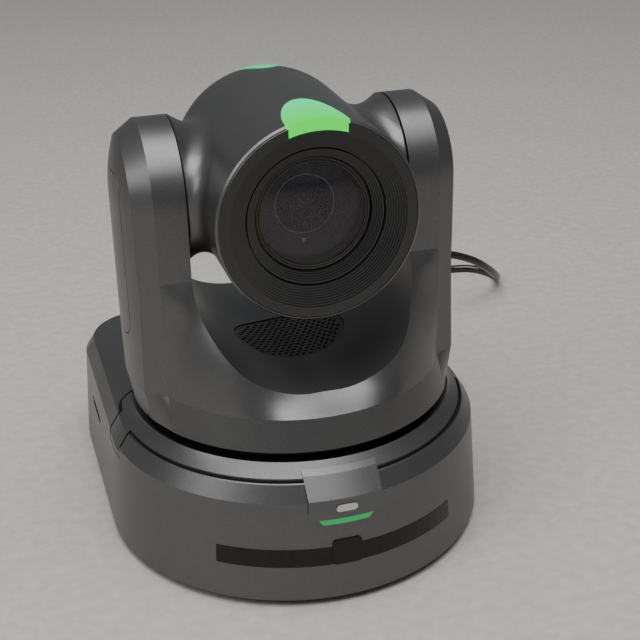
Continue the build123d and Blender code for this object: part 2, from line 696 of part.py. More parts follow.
# The space between the arms: straight sides and a rounded foot.
def trough(half_width, bottom, rounding):
    """A block with rounded lower corners, through from front to back."""
    with BuildPart() as block:
        with BuildSketch(Plane.XZ.offset(-90)):
            with BuildLine():
                Polyline((-half_width, 200), (-half_width, bottom + rounding))
                RadiusArc((-half_width, bottom + rounding), (rounding - half_width, bottom), -rounding)
                Line((rounding - half_width, bottom), (half_width - rounding, bottom))
                RadiusArc((half_width - rounding, bottom), (half_width, bottom + rounding), -rounding)
                Polyline((half_width, bottom + rounding), (half_width, 200), (-half_width, 200))
            make_face()
        extrude(amount=180)
    return block.part


space_between = trough(ARM_IN, TROUGH_Z, TROUGH_R)
space_lining = trough(ARM_IN + SKIN, TROUGH_Z - SKIN, TROUGH_R + SKIN)

# The hollow of the yoke: both arms and the drum, except for the skin round the trough.
ROOM_HALF_Y = 23.0       # half the width of the room inside an arm, seen from the side
ROOM_X = 68.0
with BuildPart() as yoke_room:
    with BuildSketch(Plane.YZ.offset(-ROOM_X)):
        with Locations((TILT_Y, (PAN_GAP_Z + TILT_Z) / 2)):
            Rectangle(2 * ROOM_HALF_Y, TILT_Z - PAN_GAP_Z)
        with Locations((TILT_Y, TILT_Z)):
            Circle(ROOM_HALF_Y)
    extrude(amount=2 * ROOM_X)
    with BuildSketch(Plane.XY.offset(PAN_GAP_Z)):
        Circle(62)
    extrude(amount=11)
    add(space_lining, mode=Mode.SUBTRACT)

# ---------------------------------------------------------------- yoke: shells, covers and grille
SPLIT_Y = 22.0           # the rear shell is everything behind this plane
COVER_IN = 2.0           # thickness of the side covers
COVER_WIDE = 30.0
COVER_TALL = 70.0
COVER_Z = 131.0
GRILLE_X = 24.5
GRILLE_Y = 20.5
GRILLE_AT_Y = -2.0
GRILLE_HOLE_R = 0.8
GRILLE_PITCH = 2.9
BEARING_OUT_R = 10.0


def side_layer(side, grow, depth):
    """The outer layer of one arm, inside the outline of its side cover."""
    with BuildPart() as layer:
        with BuildSketch(Plane.YZ.offset(side * ARM_EDGE)):
            with Locations((TILT_Y, COVER_Z)):
                RectangleRounded(COVER_WIDE + 2 * grow, COVER_TALL + 2 * grow, 8 + grow)
        extrude(amount=side * 20)
        add(yoke_form.part, mode=Mode.INTERSECT)
        add(yoke_form.part.moved(Location((-side * depth, 0, 0))), mode=Mode.SUBTRACT)
    return layer


arm_cover_left = side_layer(-1, 0, COVER_IN)
save(arm_cover_left, "arm_cover_left")
arm_cover_right = side_layer(1, 0, COVER_IN)
save(arm_cover_right, "arm_cover_right")

with BuildPart() as grille_block:
    with BuildSketch():
        with Locations((0, GRILLE_AT_Y)):
            Ellipse(GRILLE_X, GRILLE_Y)
    extrude(amount=100)

with BuildPart() as yoke_shell:
    add(yoke_form.part)
    add(space_between, mode=Mode.SUBTRACT)
    add(yoke_room.part, mode=Mode.SUBTRACT)
    add(side_layer(-1, 0.4, COVER_IN + 0.05).part, mode=Mode.SUBTRACT)
    add(side_layer(1, 0.4, COVER_IN + 0.05).part, mode=Mode.SUBTRACT)
    with BuildSketch(TILT_PLANE.offset(-60)):
        Circle(BEARING_OUT_R + 0.2)
    extrude(amount=120, mode=Mode.SUBTRACT)
    with BuildSketch():
        with Locations((0, GRILLE_AT_Y)):
            Ellipse(GRILLE_X + 0.2, GRILLE_Y + 0.2)
    extrude(amount=100, mode=Mode.SUBTRACT)
with BuildPart() as yoke_front_shell:
    add(yoke_shell.part)
    split(bisect_by=Plane.XZ.offset(-SPLIT_Y), keep=Keep.TOP)
save(yoke_front_shell, "yoke_front_shell")
with BuildPart() as yoke_rear_shell:
    add(yoke_shell.part)
    split(bisect_by=Plane.XZ.offset(-SPLIT_Y), keep=Keep.BOTTOM)
save(yoke_rear_shell, "yoke_rear_shell")

with BuildPart() as vent_grille:
    add(grille_block.part)
    add(space_lining, mode=Mode.INTERSECT)
    add(space_between.moved(Location((0, 0, -0.4))), mode=Mode.SUBTRACT)
    columns = int(GRILLE_X / GRILLE_PITCH)
    rows = int(GRILLE_Y / GRILLE_PITCH * 1.155)
    spots = []
    for row in range(-rows, rows + 1):
        for column in range(-columns - 1, columns + 2):
            x = (column + 0.5 * (row % 2)) * GRILLE_PITCH
            y = row * GRILLE_PITCH * 0.866
            if math.hypot(x / (GRILLE_X - 2), y / (GRILLE_Y - 2)) < 1:
                spots.append((x, y + GRILLE_AT_Y))
    with BuildSketch():
        with Locations(*spots):
            Circle(GRILLE_HOLE_R)
    extrude(amount=100, mode=Mode.SUBTRACT)
save(vent_grille, "vent_grille")

# ---------------------------------------------------------------- yoke: turntable, hub and frame
TURNTABLE_LOW = DECK_TOP + 0.2
FRAME_IN = 50.2
FRAME_T = 2.5
FRAME_LOW = 64.0
FRAME_HIGH = 168.0
FRAME_Y = 30.0
with BuildPart() as turntable:
    with BuildSketch(Plane.XY.offset(TURNTABLE_LOW)):
        Circle(66)
        Circle(PAN_HUB_R - 6, mode=Mode.SUBTRACT)
    extrude(amount=PAN_GAP_Z - TURNTABLE_LOW)
save(turntable, "turntable")

with BuildPart() as pan_hub:
    with BuildSketch(Plane.XY.offset(PAN_BELT_LOW - 3)):
        Circle(PAN_HUB_R)
        Circle(PAN_HUB_R - 6, mode=Mode.SUBTRACT)
    extrude(amount=TURNTABLE_LOW - PAN_BELT_LOW + 3)
save(pan_hub, "pan_hub")

with BuildPart() as pan_pulley:
    with BuildSketch(Plane.XY.offset(PAN_BELT_LOW - 1)):
        Circle(PAN_PULLEY_R)
        Circle(PAN_HUB_R, mode=Mode.SUBTRACT)
        with PolarLocations(29, 6):
            Circle(3, mode=Mode.SUBTRACT)
    extrude(amount=PAN_BELT_HIGH - PAN_BELT_LOW + 2)
save(pan_pulley, "pan_pulley")

with BuildPart() as yoke_frame:
    with Locations((0, TILT_Y, FRAME_LOW)):
        Box(2 * (FRAME_IN + FRAME_T), FRAME_Y, FRAME_T, align=(Align.CENTER, Align.CENTER, Align.MIN))
    for side in (1, -1):
        with Locations((side * (FRAME_IN + FRAME_T / 2), TILT_Y, FRAME_LOW)):
            Box(FRAME_T, FRAME_Y, FRAME_HIGH - FRAME_LOW, align=(Align.CENTER, Align.CENTER, Align.MIN))
    with BuildSketch(TILT_PLANE.offset(-60)):
        Circle(BEARING_OUT_R)
    extrude(amount=120, mode=Mode.SUBTRACT)
    with Locations((0, 0, FRAME_LOW)):
        Cylinder(PAN_HUB_R - 8, 20, mode=Mode.SUBTRACT)
save(yoke_frame, "yoke_frame")

with BuildPart() as frame_posts:
    for x in (-40, 40):
        for y in (-8, 14):
            with Locations((x, y, PAN_GAP_Z)):
                Cylinder(3, FRAME_LOW - PAN_GAP_Z, align=(Align.CENTER, Align.CENTER, Align.MIN))
save(frame_posts, "frame_posts")

with BuildPart() as driver_board:
    with Locations((27, TILT_Y, FRAME_LOW + FRAME_T)):
        Box(20, 24, 1.6, align=(Align.CENTER, Align.CENTER, Align.MIN))
    with Locations((27, TILT_Y, FRAME_LOW + FRAME_T + 1.6)):
        Box(10, 10, 3, align=(Align.CENTER, Align.CENTER, Align.MIN))
save(driver_board, "driver_board")

BEARING_IN = FRAME_IN - 0.4
BEARING_W = 4.0
with BuildPart() as tilt_bearings:
    for start in (BEARING_IN, -BEARING_IN - BEARING_W):
        with BuildSketch(TILT_PLANE.offset(start)):
            Circle(BEARING_OUT_R)
            Circle(AXLE_R + RUN, mode=Mode.SUBTRACT)
        extrude(amount=BEARING_W)
save(tilt_bearings, "tilt_bearings")

TILT_MOTOR_Z = -49.0     # below the tilt axis
TILT_MOTOR_R = 13.0
TILT_PULLEY_X = -67.6
TILT_PULLEY_W = 3.2
MOTOR_BACK = -FRAME_IN - FRAME_T
MOTOR_FACE = -64.0
with BuildPart() as tilt_motor:
    with BuildSketch(TILT_PLANE.offset(MOTOR_FACE)):
        with Locations((0, TILT_MOTOR_Z)):
            Circle(TILT_MOTOR_R)
    extrude(amount=MOTOR_BACK - MOTOR_FACE)
    with BuildSketch(TILT_PLANE.offset(MOTOR_FACE)):
        with Locations((0, TILT_MOTOR_Z)):
            Circle(2 + RUN)
    extrude(amount=8, mode=Mode.SUBTRACT)
save(tilt_motor, "tilt_motor")

TILT_MOTOR_PULLEY_R = 6.0
with BuildPart() as tilt_motor_pulley:
    with BuildSketch(TILT_PLANE.offset(TILT_PULLEY_X)):
        with Locations((0, TILT_MOTOR_Z)):
            Circle(TILT_MOTOR_PULLEY_R)
    extrude(amount=TILT_PULLEY_W)
    with BuildSketch(TILT_PLANE.offset(TILT_PULLEY_X)):
        with Locations((0, TILT_MOTOR_Z)):
            Circle(2)
    extrude(amount=TILT_PULLEY_W + 7)
save(tilt_motor_pulley, "tilt_motor_pulley")

with BuildPart() as tilt_belt:
    with BuildSketch(TILT_PLANE.offset(TILT_PULLEY_X + 0.3)):
        add(belt_loop((0, 0), TILT_PULLEY_R, (0, TILT_MOTOR_Z), TILT_MOTOR_PULLEY_R))
    extrude(amount=TILT_PULLEY_W - 0.6)
save(tilt_belt, "tilt_belt")

# ---------------------------------------------------------------- head: the outer form
LENS_AXIS = Axis((0, 0, TILT_Z), (0, 1, 0))
TRUNNION_X = ARM_IN - ARM_GAP
BACK_START = HEAD_BACK - HEAD_BACK_R
HEAD_TOP = TILT_Z + HEAD_R
NECK_R = 25.0            # the trunnions' narrowest part, inside the barrel
NECK_X = 26.0
SADDLE_R = 8.0           # hollow rounding where the barrel runs into the trunnions
with BuildPart() as head_form:
    with BuildSketch(Plane.YZ):
        with BuildLine():
            Polyline(
                (HEAD_BACK, TILT_Z), (HEAD_FRONT, TILT_Z), (HEAD_FRONT, HEAD_TOP - 0.7),
                (HEAD_FRONT + 0.7, HEAD_TOP), (BACK_START, HEAD_TOP),
            )
            RadiusArc((BACK_START, HEAD_TOP), (HEAD_BACK, HEAD_TOP - HEAD_BACK_R), HEAD_BACK_R)
            Line((HEAD_BACK, HEAD_TOP - HEAD_BACK_R), (HEAD_BACK, TILT_Z))
        make_face()
    revolve(axis=LENS_AXIS)
with BuildPart() as trunnions:
    with BuildSketch(Plane.XZ.offset(-TILT_Y)):
        with BuildLine():
            Polyline((0, TILT_Z), (0, TILT_Z + NECK_R), (NECK_X, TILT_Z + NECK_R))
            ThreePointArc(
                (NECK_X, TILT_Z + NECK_R), (37.5, TILT_Z + 26.6), (TRUNNION_X - 0.5, TILT_Z + TRUNNION_R),
            )
            Polyline(
                (TRUNNION_X - 0.5, TILT_Z + TRUNNION_R), (TRUNNION_X, TILT_Z + TRUNNION_R - 0.5),
                (TRUNNION_X, TILT_Z), (0, TILT_Z),
            )
        make_face()
    revolve(axis=TILT_AXIS)
    mirror(about=Plane.YZ)
with BuildPart() as head_outside:
    add(head_form.part)
    add(trunnions.part)
    saddles = head_outside.edges().filter_by(GeomType.BSPLINE)
    fillet(saddles.filter_by(lambda edge: abs(edge.center().X) > NECK_X), radius=SADDLE_R)

# The space inside the head: the barrel, and a short way into each trunnion.
INNER_R = HEAD_R - SKIN - 0.5
INNER_BACK = HEAD_BACK - SKIN - 1
INNER_FRONT = HEAD_FRONT + 4
with BuildPart() as head_room:
    with BuildSketch(Plane.YZ):
        with BuildLine():
            Polyline(
                (INNER_BACK, TILT_Z), (INNER_FRONT, TILT_Z), (INNER_FRONT, TILT_Z + INNER_R),
                (BACK_START, TILT_Z + INNER_R),
            )
            RadiusArc(
                (BACK_START, TILT_Z + INNER_R), (INNER_BACK, HEAD_TOP - HEAD_BACK_R), HEAD_BACK_R - SKIN,
            )
            Line((INNER_BACK, HEAD_TOP - HEAD_BACK_R), (INNER_BACK, TILT_Z))
        make_face()
    revolve(axis=LENS_AXIS)
    with BuildSketch(TILT_PLANE.offset(-TRUNNION_X + SKIN)):
        Circle(20)
    extrude(amount=2 * (TRUNNION_X - SKIN))

# Signal lights: a half-moon in the top of the barrel at each end.
TALLY_HALF = 12.5
TALLY_LONG = 28.0
TALLY_T = 2.0
TALLY_PROUD = 0.25
LIP_DEEP = 4.6           # how far the front light reaches down over the rim
LIP_HALF = 11.6
LIP_BACK = -HEAD_FRONT - 3
LIP_T = 3.7


def tally_light(middle_y, keep_sign):
    """A lens let into the top of the barrel, its surface a touch proud."""
    with BuildPart() as light:
        with BuildSketch(Plane.XY.offset(TILT_Z)):
            with Locations((0, middle_y)):
                Ellipse(TALLY_HALF, TALLY_LONG)
            with Locations((0, middle_y - keep_sign * 50)):
                Rectangle(100, 100, mode=Mode.SUBTRACT)
        extrude(amount=60)
        add(head_form.part.moved(Location((0, 0, TALLY_PROUD))), mode=Mode.INTERSECT)
        add(head_form.part.moved(Location((0, 0, -TALLY_T))), mode=Mode.SUBTRACT)
    return light


tally_crescent = tally_light(HEAD_FRONT - 1.0, 1)
# The front light laps over the rim onto the bezel.
with BuildPart() as tally_lip:
    with BuildSketch(LENS_PLANE.offset(LIP_BACK)):
        Circle(HEAD_R + TALLY_PROUD)
        Circle(HEAD_R - LIP_DEEP, mode=Mode.SUBTRACT)
    extrude(amount=LIP_T)
    with BuildSketch(LENS_PLANE.offset(LIP_BACK)):
        with Locations((0, HEAD_R)):
            Rectangle(2 * LIP_HALF, 30)
    extrude(amount=LIP_T, mode=Mode.INTERSECT)
with BuildPart() as tally_light_front:
    add(tally_crescent.part)
    add(tally_lip.part)
save(tally_light_front, "tally_light_front")
tally_light_rear = tally_light(HEAD_BACK - 1.0, -1)
save(tally_light_rear, "tally_light_rear")

# ---------------------------------------------------------------- head: shells
BEZEL_R = 40.2
BEZEL_DEPTH = 4.0
HEAD_SCREWS = [(18, -20), (-18, -20), (18, 30), (-18, 30)]
SCREW_SEAT_Z = TILT_Z - 35.0
with BuildPart() as head_shell:
    add(head_outside.part)
    add(head_room.part, mode=Mode.SUBTRACT)
    with BuildSketch(LENS_PLANE.offset(-HEAD_FRONT - BEZEL_DEPTH - 1)):
        Circle(BEZEL_R)
    extrude(amount=10, mode=Mode.SUBTRACT)
    with BuildSketch(TILT_PLANE.offset(-60)):
        Circle(AXLE_R)
    extrude(amount=120, mode=Mode.SUBTRACT)
    add(tally_light_front.part, mode=Mode.SUBTRACT)
    add(tally_light_rear.part, mode=Mode.SUBTRACT)
with BuildPart() as head_shell_upper:
    add(head_shell.part)
    split(bisect_by=Plane.XY.offset(TILT_Z), keep=Keep.TOP)
save(head_shell_upper, "head_shell_upper")
with BuildPart() as head_shell_lower:
    add(head_shell.part)
    split(bisect_by=Plane.XY.offset(TILT_Z), keep=Keep.BOTTOM)
    with BuildSketch(Plane.XY.offset(SCREW_SEAT_Z)):
        with Locations(*HEAD_SCREWS):
            Circle(2.6)
    extrude(amount=-10, mode=Mode.SUBTRACT)
    with BuildSketch(Plane.XY.offset(SCREW_SEAT_Z)):
        with Locations(*HEAD_SCREWS):
            Circle(1.3)
    extrude(amount=10, mode=Mode.SUBTRACT)
save(head_shell_lower, "head_shell_lower")

with BuildPart() as head_screws:
    with BuildSketch(Plane.XY.offset(SCREW_SEAT_Z)):
        with Locations(*HEAD_SCREWS):
            Circle(2.4)
    extrude(amount=-1.6)
    with BuildSketch(Plane.XY.offset(SCREW_SEAT_Z)):
        with Locations(*HEAD_SCREWS):
            Circle(1.3)
    extrude(amount=8)
save(head_screws, "head_screws")

# ---------------------------------------------------------------- head: bezel and front lens
BEZEL_FLAT_R = 35.8
OUTER_STEPS = 9
OUTER_STEP_END = (28.6, 5.2)       # radius and depth where the outer steps end
INNER_STEPS = 5
INNER_STEP_START = (27.8, 5.4)
INNER_STEP_END = (24.0, 8.8)
BEZEL_BACK = 10.8        # depth of the sleeve behind the inner steps
BEZEL_FRONT = HEAD_FRONT - 0.2


def staircase(start, end, steps):
    """Corners of a flight of fine ridges, as radius and depth."""
    corners = [start]
    for index in range(steps):
        radius = start[0] + (end[0] - start[0]) * (index + 1) / steps
        corners.append((radius, start[1] + (end[1] - start[1]) * index / steps))
        corners.append((radius, start[1] + (end[1] - start[1]) * (index + 1) / steps))
    return corners


bezel_profile = [(BEZEL_R, BEZEL_DEPTH), (BEZEL_R, 0.4), (BEZEL_R - 0.4, 0.0)]
bezel_profile += staircase((BEZEL_FLAT_R + 0.8, 0.0), OUTER_STEP_END, OUTER_STEPS)
bezel_profile += [(OUTER_STEP_END[0], 7.4), (INNER_STEP_START[0], 7.4)]
bezel_profile += staircase(INNER_STEP_START, INNER_STEP_END, INNER_STEPS)
bezel_profile += [
    (INNER_STEP_END[0], BEZEL_BACK), (INNER_STEP_END[0] + 1.5, BEZEL_BACK), (30.0, 9.0),
    (BEZEL_FLAT_R, 3.2), (BEZEL_FLAT_R + 1, BEZEL_DEPTH),
]
with BuildPart() as front_bezel:
    with BuildSketch(Plane.YZ):
        with BuildLine():
            Polyline(*[(BEZEL_FRONT + depth, TILT_Z + r) for r, depth in bezel_profile], close=True)
        make_face()
    revolve(axis=LENS_AXIS)
    add(tally_light_front.part, mode=Mode.SUBTRACT)
save(front_bezel, "front_bezel")


def ring_along_lens(outer_r, inner_r, front_y, back_y):
    """A plain ring about the lens axis."""
    with BuildPart() as ring:
        with BuildSketch(LENS_PLANE.offset(-back_y)):
            Circle(outer_r)
            if inner_r:
                Circle(inner_r, mode=Mode.SUBTRACT)
        extrude(amount=back_y - front_y)
    return ring


RETAINER_Y = HEAD_FRONT + 9.4
GLASS_R = 21.4
retaining_ring = ring_along_lens(23.4, GLASS_R, RETAINER_Y, RETAINER_Y + 1.6)
save(retaining_ring, "retaining_ring")

GLASS_EDGE = TILT_Z + GLASS_R - 0.1
with BuildPart() as front_lens:
    with BuildSketch(Plane.YZ):
        with BuildLine():
            Line((RETAINER_Y + 4.6, TILT_Z), (RETAINER_Y - 2.4, TILT_Z))
            ThreePointArc(
                (RETAINER_Y - 2.4, TILT_Z), (RETAINER_Y - 1.75, TILT_Z + GLASS_R / 2),
                (RETAINER_Y + 0.2, GLASS_EDGE),
            )
            Line((RETAINER_Y + 0.2, GLASS_EDGE), (RETAINER_Y + 4.6, GLASS_EDGE))
            Line((RETAINER_Y + 4.6, GLASS_EDGE), (RETAINER_Y + 4.6, TILT_Z))
        make_face()
    revolve(axis=LENS_AXIS)
save(front_lens, "front_lens")

# ---------------------------------------------------------------- head: the zoom lens
TUBE_R = 25.0
TUBE_FRONT = RETAINER_Y + 1.6
TUBE_BACK = 38.0
BAFFLE_Y = -32.0
TUBE_BORE = 19.0
with BuildPart() as lens_barrel:
    with BuildSketch(Plane.YZ):
        with BuildLine():
            Polyline(
                (TUBE_FRONT, TILT_Z + GLASS_R), (TUBE_FRONT, TILT_Z + TUBE_R), (TUBE_BACK, TILT_Z + TUBE_R),
                (TUBE_BACK, TILT_Z + 8), (TUBE_BACK - 3, TILT_Z + 8), (TUBE_BACK - 3, TILT_Z + TUBE_BORE),
                (BAFFLE_Y, TILT_Z + TUBE_BORE), (BAFFLE_Y, TILT_Z + TUBE_BORE + 0.6),
                (RETAINER_Y + 4.8, TILT_Z + GLASS_R), close=True,
            )
        make_face()
    revolve(axis=LENS_AXIS)
save(lens_barrel, "lens_barrel")

LENS_HOLE_R = 12.6
with BuildPart() as lens_baffle:
    with BuildSketch(LENS_PLANE.offset(-BAFFLE_Y - 1.0)):
        Circle(TUBE_BORE)
        Circle(LENS_HOLE_R, mode=Mode.SUBTRACT)
        with Locations((15.0, -9.0)):
            Rectangle(4.0, 4.0, mode=Mode.SUBTRACT)
    extrude(amount=1.0)
save(lens_baffle, "lens_baffle")

ROD_R = 1.0
ROD_AT = 15.6
with BuildPart() as guide_rods:
    with BuildSketch(LENS_PLANE.offset(-(TUBE_BACK - 3))):
        with Locations((ROD_AT, 0), (-ROD_AT, 0)):
            Circle(ROD_R)
    extrude(amount=TUBE_BACK - 3 - (BAFFLE_Y + 1.0))
save(guide_rods, "guide_rods")


def lens_group(front_y, holder_t, lens_r, bulge):
    """A lens in its holder, with two holes for the guide rods."""
    curve_r = (lens_r**2 + bulge**2) / (2 * bulge)
    with BuildPart() as group:
        with BuildSketch(LENS_PLANE.offset(-(front_y + holder_t))):
            Circle(TUBE_BORE - 0.5)
            with Locations((ROD_AT, 0), (-ROD_AT, 0)):
                Circle(ROD_R + RUN, mode=Mode.SUBTRACT)
        extrude(amount=holder_t)
        with BuildSketch(Plane.YZ):
            with BuildLine():
                Line((front_y, TILT_Z), (front_y - bulge, TILT_Z))
                RadiusArc((front_y - bulge, TILT_Z), (front_y, TILT_Z + lens_r), curve_r)
                Line((front_y, TILT_Z + lens_r), (front_y, TILT_Z))
            make_face()
        revolve(axis=LENS_AXIS)
    return group


zoom_group = lens_group(-24.0, 9.0, 12.2, 3.0)
save(zoom_group, "zoom_group")
focus_group = lens_group(12.0, 6.0, 9.0, 2.0)
save(focus_group, "focus_group")

with BuildPart() as sensor_board:
    with BuildSketch(LENS_PLANE.offset(-TUBE_BACK - 3.6)):
        RectangleRounded(36, 36, 3)
    extrude(amount=1.6)
    with BuildSketch(LENS_PLANE.offset(-TUBE_BACK - 2.0)):
        Rectangle(14, 12)
    extrude(amount=2.0)
save(sensor_board, "sensor_board")

# ---------------------------------------------------------------- head: frame and axles
COLLAR_R = 30.0
with BuildPart() as head_frame:
    with BuildSketch(LENS_PLANE.offset(-16)):
        Circle(COLLAR_R)
        Circle(TUBE_R, mode=Mode.SUBTRACT)
    extrude(amount=26)
    for side in (1, -1):
        with BuildSketch(TILT_PLANE.offset(side * 28.5)):
            Circle(10)
        extrude(amount=side * 7.5)
save(head_frame, "head_frame")

with BuildPart() as tilt_axles:
    with BuildSketch(TILT_PLANE.offset(36)):
        Circle(AXLE_R)
    extrude(amount=20)
    with BuildSketch(TILT_PLANE.offset(TILT_PULLEY_X)):
        Circle(AXLE_R)
    extrude(amount=-36 - TILT_PULLEY_X)
save(tilt_axles, "tilt_axles")

with BuildPart() as tilt_pulley:
    with BuildSketch(TILT_PLANE.offset(TILT_PULLEY_X)):
        Circle(TILT_PULLEY_R)
        Circle(AXLE_R, mode=Mode.SUBTRACT)
    extrude(amount=TILT_PULLEY_W)
save(tilt_pulley, "tilt_pulley")
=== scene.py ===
# %% [markdown]
# # A desk pan-tilt-zoom camera
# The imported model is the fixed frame: it holds every moulding, lens and socket at its true
# size. This lesson gives each of them a finish, lays the network lead, and adds the small
# things that a moulding tool doesn't make, such as contacts and screw heads.

# %% Load the frame
import math

import bmesh
import bpy
from mathutils import Matrix, Vector


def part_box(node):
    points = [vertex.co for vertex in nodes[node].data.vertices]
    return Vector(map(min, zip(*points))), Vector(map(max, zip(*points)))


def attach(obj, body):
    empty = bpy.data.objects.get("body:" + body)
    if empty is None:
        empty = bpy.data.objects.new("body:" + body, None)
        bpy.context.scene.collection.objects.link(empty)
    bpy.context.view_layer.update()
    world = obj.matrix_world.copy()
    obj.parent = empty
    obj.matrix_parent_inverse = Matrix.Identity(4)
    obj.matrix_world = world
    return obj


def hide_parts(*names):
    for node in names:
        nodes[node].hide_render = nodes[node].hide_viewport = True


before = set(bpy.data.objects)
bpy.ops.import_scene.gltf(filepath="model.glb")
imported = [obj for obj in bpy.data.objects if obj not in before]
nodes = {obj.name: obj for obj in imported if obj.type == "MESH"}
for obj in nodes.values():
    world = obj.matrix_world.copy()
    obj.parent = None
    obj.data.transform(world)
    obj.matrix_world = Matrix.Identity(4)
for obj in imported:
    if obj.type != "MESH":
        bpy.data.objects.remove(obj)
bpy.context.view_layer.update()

print("pieces in the frame:", len(nodes))

# %% [markdown]
# ## Camera
# The camera looks down on the front of the object from its left. A long lens keeps the
# verticals calm, as a product shot does. Turning the camera by yaw, then pitch, then roll
# is easier to read than three Euler angles. The sensor is 36 mm wide, as on a full-frame body.

# %% Camera
CAMERA_AT = Vector((-0.1306, -0.4961, 0.3318))
YAW = math.radians(16.34)
PITCH = math.radians(25.46)
ROLL = math.radians(-1.23)
LENS_MM = 72
SENSOR_MM = 36
optics = bpy.data.cameras.new("product_camera")
optics.lens = LENS_MM
optics.sensor_width = SENSOR_MM
camera = bpy.data.objects.new("product_camera", optics)
bpy.context.scene.collection.objects.link(camera)
camera.matrix_world = (
    Matrix.Translation(CAMERA_AT)
    @ Matrix.Rotation(-YAW, 4, "Z")
    @ Matrix.Rotation(math.pi / 2 - PITCH, 4, "X")
    @ Matrix.Rotation(ROLL, 4, "Z")
)
bpy.context.scene.camera = camera
print("camera to pan axis:", round(CAMERA_AT.xy.length, 3), "m")

# %% [markdown]
# ## Network lead
# A soft patch lead, 4.6 mm thick and 1.5 m long. It leaves the plug at the back, arches over
# and comes down beside the camera, and the length that isn't needed is wound into a neat coil
# behind it. One NURBS curve carries the whole line: its points are like pegs that the lead is
# pulled towards, so the bends come out smooth. A tube's thickness is its bevel depth times the
# radius at each point. Here the radius holds the thickness and the bevel depth is 1, because
# Blender grows a curve's bounding box by the point radius, which is 1 m until it is set.

# %% Lead: the stretch that isn't coiled
LEAD_D = 0.0046
FLOOR_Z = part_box("rubber_feet")[0].z
LYING_Z = FLOOR_Z + LEAD_D / 2
LEAD_ROUTE = [
    (0.032, 0.138, 0.020),
    (0.032, 0.158, 0.020),
    (0.044, 0.177, 0.025),
    (0.072, 0.188, 0.032),
    (0.104, 0.180, 0.037),
    (0.133, 0.167, 0.0375),
    (0.157, 0.163, 0.032),
    (0.176, 0.172, 0.0175),
    (0.1885, 0.187, 0.004),
    (0.194, 0.204, LYING_Z),
    (0.184, 0.2195, LYING_Z),
    (0.164, 0.2225, LYING_Z),
    (0.142, 0.2165, 0.0025),
    (0.123, 0.2128, 0.0095),
]
print("hand-set lead points:", len(LEAD_ROUTE))

# %% [markdown]
# The coil is a spiral in four layers. Each layer winds inwards or outwards by one cord width
# per turn, and then the lead steps down a layer, so that no turn runs through another.

# %% Lead: the coil
COIL_AT = Vector((0.100, 0.242))
COIL_MID_R = 0.0253      # middle of the band of turns
LAYERS = 4
TURNS_PER_LAYER = 1.8125
POINTS_PER_TURN = 16
LANE = 0.0048            # from one turn to the next, a little over the lead's thickness
LAYER_STEP = 0.00475
STEP_DOWN_FROM = 0.9     # share of a layer after which the lead steps down to the next
half_band = LANE * TURNS_PER_LAYER / 2
coil_points = []
point_count = round(LAYERS * TURNS_PER_LAYER * POINTS_PER_TURN)
for index in range(point_count + 1):
    turns = index / POINTS_PER_TURN
    layer = min(int(turns / TURNS_PER_LAYER), LAYERS - 1)
    along = turns / TURNS_PER_LAYER - layer
    inwards = along if layer % 2 == 0 else 1 - along
    radius = COIL_MID_R + half_band * (1 - 2 * inwards)
    step_down = 0.0
    if layer < LAYERS - 1 and along > STEP_DOWN_FROM:
        step_down = min(1.0, (along - STEP_DOWN_FROM) / (1 - STEP_DOWN_FROM))
    height = LYING_Z + LAYER_STEP * (LAYERS - 1 - layer - step_down)
    angle = -math.pi / 2 - 2 * math.pi * turns
    coil_points.append((
        COIL_AT.x + radius * math.cos(angle),
        COIL_AT.y + radius * math.sin(angle),
        height,
    ))
far_plug_low, far_plug_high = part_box("network_plug_far")
IN_BOOT = 0.004          # the lead's end is this deep in the far plug's boot
far_plug_mouth = (
    (far_plug_low.x + far_plug_high.x) / 2,
    far_plug_low.y + IN_BOOT,
    (far_plug_low.z + far_plug_high.z) / 2,
)
print("coil points:", len(coil_points), "turns:", LAYERS * TURNS_PER_LAYER)

# %% [markdown]
# The stretch, the coil and the far plug's boot now join into one line. The order and the end
# rule of the spline are set after its points, because a new spline falls back to straight
# runs. The imported lead and the imported coil stay but are hidden, and this curve shows instead.
# The imported lead and the imported coil stay for collision, and this curve shows instead.

# %% Lead: one curve
lead_points = LEAD_ROUTE + coil_points + [far_plug_mouth]
lead_curve = bpy.data.curves.new("patch_lead", "CURVE")
lead_curve.dimensions = "3D"
lead_curve.bevel_depth = 1.0
lead_curve.bevel_resolution = 6
lead_curve.resolution_u = 8
spline = lead_curve.splines.new("NURBS")
spline.points.add(len(lead_points) - 1)
for point, place in zip(spline.points, lead_points):
    point.co = (*place, 1.0)
    point.radius = LEAD_D / 2
spline.order_u = 3
spline.use_endpoint_u = True
lead = bpy.data.objects.new("patch_lead", lead_curve)
bpy.context.scene.collection.objects.link(lead)
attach(lead, "base")
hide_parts("network_lead", "network_lead_coil")

# %% [markdown]
# ## Finishes
# A material is a small network of nodes. Every finish here starts from the same helper: a
# Principled shader whose colour and roughness are stirred by fine noise, and a bump that
# gives the surface its grain. Plain numbers go straight onto the shader's own sockets.

# %% A helper that starts a finish
def new_finish(name, metallic=0.0, coat=0.0, coat_roughness=0.1, specular=0.5):
    """A material with a Principled shader, and handles on its nodes."""
    material = bpy.data.materials.new(name)
    material.use_nodes = True
    shader = material.node_tree.nodes["Principled BSDF"]
    shader.inputs["Metallic"].default_value = metallic
    shader.inputs["Coat Weight"].default_value = coat
    shader.inputs["Coat Roughness"].default_value = coat_roughness
    shader.inputs["Specular IOR Level"].default_value = specular
    return material, shader


# %% [markdown]
# Noise in Object coordinates is fixed to the piece, so it moves with the head when the head
# tilts. Its scale counts features per metre: 3200 gives a grain of a third of a millimetre.

